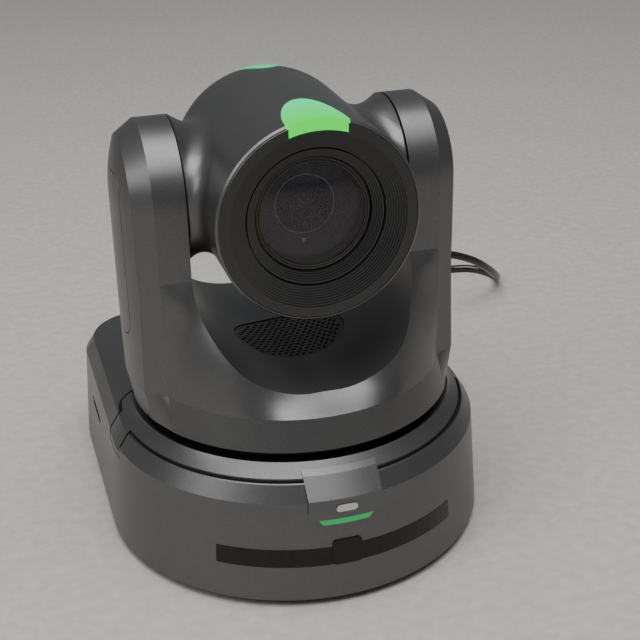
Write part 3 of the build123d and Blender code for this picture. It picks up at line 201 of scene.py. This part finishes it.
# %% A helper for grain
def grain(material, scale, detail=2.0):
    """Noise that is fixed to the piece, at a scale in features per metre."""
    tree = material.node_tree
    place = tree.nodes.new("ShaderNodeTexCoord")
    noise = tree.nodes.new("ShaderNodeTexNoise")
    noise.inputs["Scale"].default_value = scale
    noise.inputs["Detail"].default_value = detail
    tree.links.new(place.outputs["Object"], noise.inputs["Vector"])
    return noise


# %% [markdown]
# Noise is only a number from 0 to 1. A colour ramp turns it into a colour, and a map range
# turns it into a roughness. Both keep to the middle of the noise, where most of it lies.

# %% Helpers that use the grain
def ramp(material, source, low, high, start=0.35, end=0.65):
    """Turn noise into a colour between low and high."""
    tree = material.node_tree
    colours = tree.nodes.new("ShaderNodeValToRGB")
    colours.color_ramp.elements[0].position = start
    colours.color_ramp.elements[0].color = (*low, 1)
    colours.color_ramp.elements[1].position = end
    colours.color_ramp.elements[1].color = (*high, 1)
    tree.links.new(source.outputs["Fac"], colours.inputs["Fac"])
    return colours


def vary(material, source, low, high):
    """Turn noise into a number between low and high."""
    tree = material.node_tree
    span = tree.nodes.new("ShaderNodeMapRange")
    span.inputs["From Min"].default_value = 0.3
    span.inputs["From Max"].default_value = 0.7
    span.inputs["To Min"].default_value = low
    span.inputs["To Max"].default_value = high
    tree.links.new(source.outputs["Fac"], span.inputs["Value"])
    return span


# %% [markdown]
# A bump node tilts the light on the surface as if it had fine relief, and leaves the mesh as
# it is. The depth is a true one: the deepest here, in the rubber, is 0.06 mm.

# %% A helper for fine relief
def add_bump(material, shader, source, depth, strength=0.5):
    """Raise the surface by noise, depth in metres."""
    tree = material.node_tree
    bump = tree.nodes.new("ShaderNodeBump")
    bump.inputs["Distance"].default_value = depth
    bump.inputs["Strength"].default_value = strength
    tree.links.new(source.outputs["Fac"], bump.inputs["Height"])
    tree.links.new(bump.outputs["Normal"], shader.inputs["Normal"])


# %% [markdown]
# Most finishes on this object differ only in their numbers, so one recipe makes them all:
# fine grain for colour and relief, and a slow drift across the piece for roughness, as
# handling and moulding leave it.

# %% The recipe for a moulded finish
SLOW_DRIFT = 22


def moulded(name, dark, light, rough, scale=2600, depth=0.00003, **gloss):
    """A moulded finish: colour, roughness and bump from one fine grain and one slow drift."""
    material, shader = new_finish(name, **gloss)
    fine = grain(material, scale)
    slow = grain(material, SLOW_DRIFT, detail=3.0)
    colour = ramp(material, fine, dark, light)
    roughness = vary(material, slow, rough - 0.04, rough + 0.04)
    tree = material.node_tree
    tree.links.new(colour.outputs["Color"], shader.inputs["Base Color"])
    tree.links.new(roughness.outputs["Result"], shader.inputs["Roughness"])
    add_bump(material, shader, fine, depth)
    return material


# %% [markdown]
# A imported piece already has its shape, so it only needs its material slots filled. A piece
# may have several slots, one for each of its faces' old colours, and all take the finish.

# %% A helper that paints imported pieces
def paint(material, *names):
    """Give CAD pieces this finish in every slot."""
    for name in names:
        slots = nodes[name].data.materials
        if not slots:
            slots.append(material)
        for index in range(len(slots)):
            slots[index] = material
    print(material.name, "on", len(names), "pieces")


# %% [markdown]
# ### Gunmetal mouldings
# The shells are plastic with a metallic paint: tiny flakes sparkle where light strikes, and
# the same surface falls almost to black where it faces a dark room. A high metallic value
# and a middling roughness give that swing from dark to bright. The flakes are noise at about
# a third of a millimetre.

# %% Gunmetal
gunmetal = moulded("gunmetal_paint", (0.118, 0.117, 0.117), (0.158, 0.157, 0.157), 0.37,
                   scale=3200, depth=0.000006, metallic=0.88)
paint(gunmetal, "base_housing", "front_cover", "yoke_front_shell", "yoke_rear_shell",
      "arm_cover_left", "arm_cover_right", "head_shell_upper", "head_shell_lower")

# %% [markdown]
# ### Black mouldings
# The lens hood, the rear panel and the parts under the base are black plastic with a fine
# spark-eroded texture. The hood is the smoothest of them, so that its ridges catch the light,
# and the rest is dull. The vent grille is a dark grey with a metallic sheen.

# %% Black plastic
hood_black = moulded("hood_black", (0.014, 0.014, 0.0145), (0.024, 0.024, 0.0245), 0.3,
                     scale=2200, depth=0.00002, specular=0.55)
plain_black = moulded("plain_black", (0.012, 0.012, 0.012), (0.024, 0.024, 0.024), 0.55,
                      scale=1800, depth=0.00004)
grille_grey = moulded("grille_grey", (0.07, 0.069, 0.066), (0.12, 0.118, 0.112), 0.42, metallic=0.8)
paint(hood_black, "front_bezel")
paint(plain_black, "bottom_plate", "turntable", "rear_panel", "rear_vent", "power_socket", "audio_socket")
paint(grille_grey, "vent_grille")

# %% [markdown]
# ### Lights
# The signal lights glow by emission. Their colour runs along the light from a cool green to
# a purer one, as in a light guide away from its lamp. The gradient is fixed to the piece, in
# metres along Y.

# %% A helper for a lit lens
def light_guide(name, back_colour, front_colour, front_y, back_y, strength):
    """A lit plastic lens whose colour drifts along Y."""
    material, shader = new_finish(name, specular=0.15)
    tree = material.node_tree
    place = tree.nodes.new("ShaderNodeTexCoord")
    split = tree.nodes.new("ShaderNodeSeparateXYZ")
    span = tree.nodes.new("ShaderNodeMapRange")
    span.inputs["From Min"].default_value = front_y
    span.inputs["From Max"].default_value = back_y
    colours = tree.nodes.new("ShaderNodeValToRGB")
    colours.color_ramp.elements[0].color = (*front_colour, 1)
    colours.color_ramp.elements[1].color = (*back_colour, 1)
    tree.links.new(place.outputs["Object"], split.inputs["Vector"])
    tree.links.new(split.outputs["Y"], span.inputs["Value"])
    tree.links.new(span.outputs["Result"], colours.inputs["Fac"])
    shader.inputs["Base Color"].default_value = (0.0, 0.05, 0.015, 1)
    tree.links.new(colours.outputs["Color"], shader.inputs["Emission Color"])
    shader.inputs["Emission Strength"].default_value = strength
    shader.inputs["Roughness"].default_value = 0.4
    return material


# %% [markdown]
# The front light shows its purest green at its front lip, and the rear one at its back end.
# The status bar on the base is short, so its colour hardly drifts.

# %% Signal lights
front_low, front_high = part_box("tally_light_front")
rear_low, rear_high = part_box("tally_light_rear")
CYAN_GREEN = (0.0, 0.72, 0.26)
PURE_GREEN = (0.0, 0.75, 0.03)
tally_front = light_guide("tally_glow_front", CYAN_GREEN, PURE_GREEN, front_low.y, front_high.y, 1.6)
tally_rear = light_guide("tally_glow_rear", PURE_GREEN, CYAN_GREEN, rear_low.y, rear_high.y, 1.3)
bar_low, bar_high = -0.09, -0.08
bar_glow = light_guide("status_glow", (0.03, 0.5, 0.12), (0.05, 0.6, 0.16), bar_low, bar_high, 0.7)
paint(tally_front, "tally_light_front")
paint(tally_rear, "tally_light_rear")
paint(bar_glow, "indicator_bar")

# %% [markdown]
# ### Glossy black, metal, rubber and board
# The rest is quick: a deep gloss for the sensor window, bare metal with a fine grain for
# screws and sockets, soft rubber for the feet and belts, and green lacquer on the boards.

# %% Small finishes
window_black = moulded("window_gloss", (0.0015, 0.0015, 0.002), (0.003, 0.003, 0.0035), 0.10,
                       scale=300, depth=0.000002, coat=0.25, coat_roughness=0.03, specular=0.25)
plated = moulded("plated_steel", (0.42, 0.42, 0.43), (0.55, 0.55, 0.56), 0.3, scale=900,
                 depth=0.00001, metallic=1.0)
silver = moulded("silver_badge", (0.55, 0.56, 0.57), (0.68, 0.69, 0.70), 0.32, scale=1500,
                 depth=0.00001, metallic=0.9)
machined = moulded("machined_aluminium", (0.5, 0.5, 0.51), (0.62, 0.62, 0.63), 0.35, scale=700,
                   depth=0.00001, metallic=1.0)
rubber = moulded("soft_rubber", (0.012, 0.012, 0.012), (0.022, 0.022, 0.022), 0.75, scale=1200,
                 depth=0.00006)
board_green = moulded("board_lacquer", (0.004, 0.05, 0.02), (0.008, 0.09, 0.035), 0.3, scale=500,
                      depth=0.00002, coat=0.5)
motor_black = moulded("motor_can", (0.03, 0.03, 0.033), (0.06, 0.06, 0.065), 0.35, metallic=0.7)
jacket = moulded("lead_jacket", (0.004, 0.004, 0.0045), (0.009, 0.009, 0.0095), 0.24, scale=900,
                 depth=0.00001, coat=0.3)
boot = moulded("plug_boot", (0.008, 0.008, 0.008), (0.015, 0.015, 0.015), 0.4, scale=1400,
               depth=0.00002)
lead_curve.materials.append(jacket)
paint(window_black, "sensor_window")
paint(silver, "tab_badge")

# %% [markdown]
# Plated steel serves for screws, bearings, shafts, brackets and socket shells. Pulleys and
# the pan hub are turned aluminium, which is a little brighter than the plating.

# %% Small finishes on their pieces
paint(plated, "tripod_socket", "base_screws", "ground_screw", "yoke_frame", "frame_posts", "head_frame",
      "tilt_axles", "guide_rods", "head_screws", "pan_bearing", "tilt_bearings", "hdmi_socket",
      "usb_socket", "network_socket", "sdi_socket", "serial_socket")
paint(machined, "pan_pulley", "pan_motor_pulley", "tilt_pulley", "tilt_motor_pulley", "pan_hub")
paint(rubber, "rubber_feet", "pan_belt", "tilt_belt")
paint(board_green, "main_board", "driver_board", "sensor_board")
paint(motor_black, "pan_motor", "tilt_motor")
paint(boot, "network_plug", "network_plug_far")

# %% [markdown]
# ### The lens
# Black anodised metal holds the glass. The front element is thin and coated, so it is made
# as a nearly clear film with a purple tint and a sharp gloss: light passes straight through
# it, and the baffle and the small inner lens show cleanly. A lens looks deep only when
# everything behind the glass is darker than the hood, so both are close to black: partly
# their own black finish and partly painted shade inside the barrel.

# %% Lens finishes
anodised = moulded("black_anodised", (0.008, 0.008, 0.009), (0.014, 0.014, 0.015), 0.33, scale=1500,
                   depth=0.00001, metallic=0.3)
# Baffle and inner lens: near-black, partly their own black and partly painted shade inside the barrel.
baffle_black = moulded("baffle_black", (0.009, 0.009, 0.0105), (0.013, 0.0125, 0.015), 0.45, scale=1600,
                       depth=0.000008)
inner_glass = moulded("inner_lens", (0.0012, 0.0009, 0.0025), (0.0022, 0.0013, 0.004), 0.10, scale=60,
                      depth=0.000001, specular=0.35)
ring_metal = moulded("ring_metal", (0.34, 0.34, 0.35), (0.44, 0.44, 0.45), 0.3, scale=900,
                     depth=0.000004, metallic=1.0)
warm_metal = moulded("warm_metal", (0.10, 0.092, 0.066), (0.15, 0.138, 0.10), 0.34, scale=900,
                     depth=0.000004, metallic=0.9)
front_glass, glass_shader = new_finish("coated_front_glass", specular=1.0, coat=1.0, coat_roughness=0.02)
glass_shader.inputs["Alpha"].default_value = 0.3
glass_shader.inputs["Roughness"].default_value = 0.04
coating = ramp(front_glass, grain(front_glass, 40), (0.006, 0.003, 0.014), (0.012, 0.005, 0.02))
front_glass.node_tree.links.new(coating.outputs["Color"], glass_shader.inputs["Base Color"])
paint(anodised, "retaining_ring", "lens_barrel")
paint(baffle_black, "lens_baffle")
paint(inner_glass, "zoom_group", "focus_group")
paint(front_glass, "front_lens")

# %% [markdown]
# ## Small turned and moulded pieces
# Rings, pins and screw heads are turned parts, so they are made as a lathe makes them: a
# profile, given as radius and distance along the axis, is spun about that axis. Tongues and
# contacts are small blocks whose edges are bevelled, because no moulded edge is ever sharp.

# %% A helper that places a piece
def place_piece(name, form, finish, body):
    """Turn a bmesh into a piece with smooth faces and crisp edges, riding on a body."""
    mesh = bpy.data.meshes.new(name)
    bmesh.ops.recalc_face_normals(form, faces=form.faces)
    form.to_mesh(mesh)
    form.free()
    mesh.shade_smooth()
    mesh.set_sharp_from_angle(angle=math.radians(35))
    mesh.materials.append(finish)
    piece = bpy.data.objects.new(name, mesh)
    bpy.context.scene.collection.objects.link(piece)
    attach(piece, body)
    print(name, "faces:", len(mesh.polygons))


# %% [markdown]
# The lathe: each pair of the profile becomes a ring of corners, and neighbouring rings are
# joined by four-sided faces. A hollow profile is a closed loop, like the section of a ring.
# A solid one is open, and its two ends are closed by flat caps.

# %% A helper that turns a profile
def spin(form, profile, centre, axis, hollow, sides=64):
    """Spin (radius, along) pairs about an axis: a hollow profile closes on itself."""
    turn = Vector((0, 0, 1)).rotation_difference(Vector(axis)).to_matrix()
    rings = []
    for radius, along in profile:
        ring = []
        for index in range(sides):
            angle = 2 * math.pi * index / sides
            spoke = Vector((radius * math.cos(angle), radius * math.sin(angle), along))
            ring.append(form.verts.new(Vector(centre) + turn @ spoke))
        rings.append(ring)
    followers = rings[1:] + rings[:1] if hollow else rings[1:]
    for near, far in zip(rings, followers):
        for index in range(sides):
            after = (index + 1) % sides
            form.faces.new((near[index], near[after], far[after], far[index]))
    if not hollow:
        form.faces.new(rings[0][::-1])
        form.faces.new(rings[-1])


# %% [markdown]
# The block: a cube is scaled and moved into place, and then all its edges are rounded in
# three steps, which is enough for a highlight to run along them.

# %% A helper that makes a bevelled block
def block(form, centre, size, edge):
    """A box with rounded edges, in metres."""
    made = bmesh.ops.create_cube(form, size=1.0)
    bmesh.ops.scale(form, vec=size, verts=made["verts"])
    bmesh.ops.translate(form, vec=centre, verts=made["verts"])
    edges = list({side for corner in made["verts"] for side in corner.link_edges})
    bmesh.ops.bevel(form, geom=edges, offset=edge, segments=3, profile=0.5, affect="EDGES")


# %% [markdown]
# ### Rings round the glass
# The inner lens sits in a bright ring that catches the light as one thin circle, and two
# fine warm lines show on the retaining ring. They are tiny, but a lens without them looks
# like a black hole. A small screw holds the baffle, below the inner lens. Each of them sits
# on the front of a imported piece, so its place is measured from the middle of that piece's box.

# %% A helper for places
def middle(node):
    """The middle of a CAD piece's box, as a fresh vector."""
    low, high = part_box(node)
    return (low + high) / 2


# %% [markdown]
# The bright ring is a little over half a millimetre wide and stands a third of a millimetre
# off the baffle. A rounded top, not a flat one, makes its highlight a fine line.

# %% Inner lens ring
FORWARD = (0, -1, 0)
baffle_face = middle("lens_baffle")
baffle_face.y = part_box("lens_baffle")[0].y
ring_form = bmesh.new()
INNER_RING = [(0.01205, 0.0), (0.01215, 0.0003), (0.0124, 0.00034), (0.01262, 0.0002), (0.01262, 0.0)]
spin(ring_form, INNER_RING, baffle_face, FORWARD, hollow=True, sides=128)
place_piece("inner_lens_ring", ring_form, ring_metal, "head")

# %% [markdown]
# The two warm lines on the retaining ring are low ridges, a little under half a millimetre
# wide. One profile makes both, each at its own radius.

# %% Fine lines on the retaining ring
retainer_face = middle("retaining_ring")
retainer_face.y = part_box("retaining_ring")[0].y
line_form = bmesh.new()
RIDGE = [(-0.00022, -0.0001), (-0.0001, 0.00016), (0.0001, 0.00016), (0.00022, -0.0001)]
for line_r in (0.02165, 0.02285):
    profile = [(line_r + out, along) for out, along in RIDGE]
    spin(line_form, profile, retainer_face, FORWARD, hollow=True, sides=128)
place_piece("retaining_ring_lines", line_form, warm_metal, "head")

# %% [markdown]
# The screw has a domed head of 2.2 mm. Its foot goes a tenth of a millimetre into the
# baffle, so that no gap shows under it.

# %% Baffle screw
STUD = [(0.0011, -0.0001), (0.0011, 0.0002), (0.0009, 0.0004), (0.0004, 0.00046)]
SCREW_FROM_MIDDLE = Vector((-0.0007, 0, -0.0158))
screw_form = bmesh.new()
spin(screw_form, STUD, baffle_face + SCREW_FROM_MIDDLE, FORWARD, hollow=False, sides=32)
place_piece("baffle_screw", screw_form, ring_metal, "head")

# %% [markdown]
# ### Inside the sockets
# A socket is more than a hole. The coaxial one and the power one have a pin on their axis,
# the flat ones have a tongue with gilt contacts, and the network socket has two small lamps
# at its upper corners. Four screws hold the rear panel.

# %% Pins on an axis
BACKWARD = (0, 1, 0)
BORE_DEPTH = 0.010
gilt = moulded("gilt_contact", (0.55, 0.40, 0.14), (0.70, 0.52, 0.20), 0.28, scale=900,
               depth=0.000004, metallic=1.0)
pin_form = bmesh.new()
for socket, pin_r, depth in (("sdi_socket", 0.0006, 0.006), ("power_socket", 0.0008, 0.0045)):
    mouth = middle(socket)
    mouth.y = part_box(socket)[1].y - depth
    profile = [(pin_r, depth - BORE_DEPTH), (pin_r, 0.003), (0.7 * pin_r, 0.0036), (0.2 * pin_r, 0.0038)]
    spin(pin_form, profile, mouth, BACKWARD, hollow=False, sides=24)
place_piece("socket_pins", pin_form, gilt, "base")

# %% [markdown]
# The serial socket has eight thin pins on a circle. A loop places them, and each is one
# short turned stud.

# %% Serial pins
SERIAL_PINS = 8
SERIAL_R = 0.0024
THIN_PIN = [(0.00035, -0.004), (0.00035, 0.0024), (0.0002, 0.0028)]
serial_mouth = middle("serial_socket")
serial_mouth.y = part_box("serial_socket")[1].y - 0.006
serial_form = bmesh.new()
for index in range(SERIAL_PINS):
    angle = 2 * math.pi * index / SERIAL_PINS
    spoke = Vector((SERIAL_R * math.cos(angle), 0, SERIAL_R * math.sin(angle)))
    spin(serial_form, THIN_PIN, serial_mouth + spoke, BACKWARD, hollow=False, sides=12)
place_piece("serial_pins", serial_form, gilt, "base")

# %% [markdown]
# The video and data sockets each hold a flat plastic tongue. The contacts are thin gilt
# strips under it, nine in one and four in the other, spread over its width.

# %% Tongues and contacts
TONGUE_LENGTH = 0.009
TONGUE_THICK = 0.0011
CONTACT = (0.0005, 0.0078, 0.0002)
UNDER_TONGUE = -0.00056
tongue_form = bmesh.new()
contact_form = bmesh.new()
for socket, width, count in (("hdmi_socket", 0.0112, 9), ("usb_socket", 0.0096, 4)):
    tongue = middle(socket)
    tongue.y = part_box(socket)[1].y - 0.0075
    block(tongue_form, tongue, (width, TONGUE_LENGTH, TONGUE_THICK), 0.0003)
    for index in range(count):
        step = (index - (count - 1) / 2) * width / (count + 0.5)
        block(contact_form, tongue + Vector((step, 0.0003, UNDER_TONGUE)), CONTACT, 0.00005)
place_piece("socket_tongues", tongue_form, plain_black, "base")
place_piece("socket_contacts", contact_form, gilt, "base")

# %% [markdown]
# The network socket has a small amber window at each upper corner. They are unlit here, so
# they have a plain glossy colour and no glow.

# %% Network lamps
LAMP = (0.0028, 0.0010, 0.0014)
lamp_finish = moulded("amber_lamp", (0.30, 0.13, 0.01), (0.38, 0.17, 0.02), 0.25, scale=400,
                      depth=0.000004, coat=0.4)
lamp_form = bmesh.new()
socket_low, socket_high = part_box("network_socket")
for x in (socket_low.x + 0.0024, socket_high.x - 0.0024):
    block(lamp_form, Vector((x, socket_high.y - 0.0002, socket_high.z - 0.0014)), LAMP, 0.0002)
place_piece("network_lamps", lamp_form, lamp_finish, "base")

# %% [markdown]
# Four plated screws hold the rear panel, one near each corner. Their heads are low domes,
# like the baffle's screw but larger.

# %% Panel screws
PANEL_SCREW = [(0.0019, -0.0004), (0.0019, 0.0002), (0.0016, 0.0006), (0.0006, 0.0008)]
panel_low, panel_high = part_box("rear_panel")
panel_form = bmesh.new()
INSET = 0.0032
for x in (panel_low.x + INSET, panel_high.x - INSET):
    for z in (panel_low.z + INSET, panel_high.z - INSET):
        spin(panel_form, PANEL_SCREW, Vector((x, panel_high.y, z)), BACKWARD, hollow=False, sides=32)
place_piece("panel_screws", panel_form, plated, "base")

# %% [markdown]
# ## Floor and light
# The floor is one large pale sheet. A wide soft light overhead stands for a ceiling, a
# second one fills from the front left, and the world adds an even pale grey.

# %% Floor
floor_mesh = bpy.data.meshes.new("floor")
form = bmesh.new()
FLOOR_HALF = 3.0
bmesh.ops.create_grid(form, x_segments=8, y_segments=8, size=FLOOR_HALF)
form.to_mesh(floor_mesh)
form.free()
floor = bpy.data.objects.new("floor", floor_mesh)
floor.location.z = FLOOR_Z
bpy.context.scene.collection.objects.link(floor)
pale_table = moulded("pale_table", (0.44, 0.42, 0.39), (0.50, 0.48, 0.45), 0.55, scale=180,
                     depth=0.00002)
floor_mesh.materials.append(pale_table)
print("floor at z =", round(FLOOR_Z, 4))

# %% [markdown]
# The lamps are large for their distance, so their highlights are broad and their shadows
# soft, which suits a satin surface. The one overhead does most of the work.

# %% Lights
def soft_light(name, at, size, power, aim=(0, 0, 0.09)):
    """A square area light that looks at a point on the object."""
    data = bpy.data.lights.new(name, "AREA")
    data.size = size
    data.energy = power
    light = bpy.data.objects.new(name, data)
    light.location = at
    light.rotation_euler = (Vector(aim) - Vector(at)).to_track_quat("-Z", "Y").to_euler()
    bpy.context.scene.collection.objects.link(light)
    print(name, power, "W over", size, "m")


soft_light("ceiling", (-0.1, -0.3, 1.6), 1.5, 34)
soft_light("front_fill", (-1.3, -0.5, 1.0), 0.7, 6)
world = bpy.data.worlds.new("room")
world.use_nodes = True
world.node_tree.nodes["Background"].inputs["Color"].default_value = (0.9, 0.92, 0.95, 1)
world.node_tree.nodes["Background"].inputs["Strength"].default_value = 0.22
bpy.context.scene.world = world
